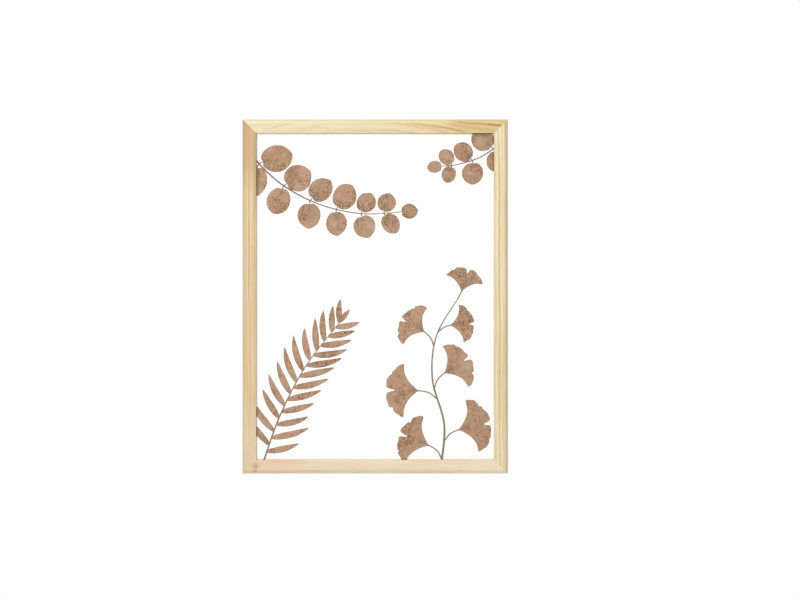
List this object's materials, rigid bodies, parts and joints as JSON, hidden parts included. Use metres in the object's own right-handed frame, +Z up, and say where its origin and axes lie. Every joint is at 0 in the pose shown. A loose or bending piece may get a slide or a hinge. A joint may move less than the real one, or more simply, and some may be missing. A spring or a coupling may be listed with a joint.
{
  "type": "floating picture frame",
  "caption": "Natural pine floater frame, mitred at the corners, round a printed canvas stretched on a keyed strainer, with two swinging D-ring hangers.",
  "frame": {"origin": "middle of the frame on the wall plane, which the four wall pads touch", "axes": "+X to the right as seen from the front, +Y from the front towards the wall, +Z up"},
  "size_m": [0.269, 0.0362, 0.359],
  "materials": {
    "natural_pine": "sanded pine under a clear matt lacquer",
    "raw_pine": "planed, unfinished pine",
    "beech": "sawn beech wedges",
    "printed_canvas": "white primed cotton canvas with a matt print",
    "zinc_steel": "bright zinc plate",
    "yellow_zinc": "yellow passivated zinc plate",
    "nail_steel": "plain spring steel",
    "pad_rubber": "soft pale grey self-adhesive pads"
  },
  "bodies": {
    "frame": {"top_rail": "natural_pine", "bottom_rail": "natural_pine", "left_stile": "natural_pine", "right_stile": "natural_pine", "corner_v_nails": "nail_steel", "stretcher_bar_top": "raw_pine", "stretcher_bar_bottom": "raw_pine", "stretcher_bar_left": "raw_pine", "stretcher_bar_right": "raw_pine", "corner_keys_top_left": "beech", "corner_keys_top_right": "beech", "corner_keys_bottom_left": "beech", "corner_keys_bottom_right": "beech", "canvas_face": "printed_canvas", "canvas_turned_edge": "printed_canvas", "canvas_staples": "zinc_steel", "canvas_fixing_screws": "yellow_zinc", "hanger_strap_left": "zinc_steel", "hanger_strap_right": "zinc_steel", "hanger_screws_left": "zinc_steel", "hanger_screws_right": "zinc_steel", "wall_pads": "pad_rubber"},
    "ring_left": {"hanger_ring_left": "zinc_steel"},
    "ring_right": {"hanger_ring_right": "zinc_steel"}
  },
  "joints": [
    {"name": "ring_left_swing", "type": "hinge", "parent": "frame", "child": "ring_left", "pos_m": [-0.1175, -0.00232, 0.0975], "axis": [1, 0, 0], "range_deg": [0, 175.5]},
    {"name": "ring_right_swing", "type": "hinge", "parent": "frame", "child": "ring_right", "pos_m": [0.1175, -0.00232, 0.0975], "axis": [1, 0, 0], "range_deg": [0, 175.5]}
  ]
}
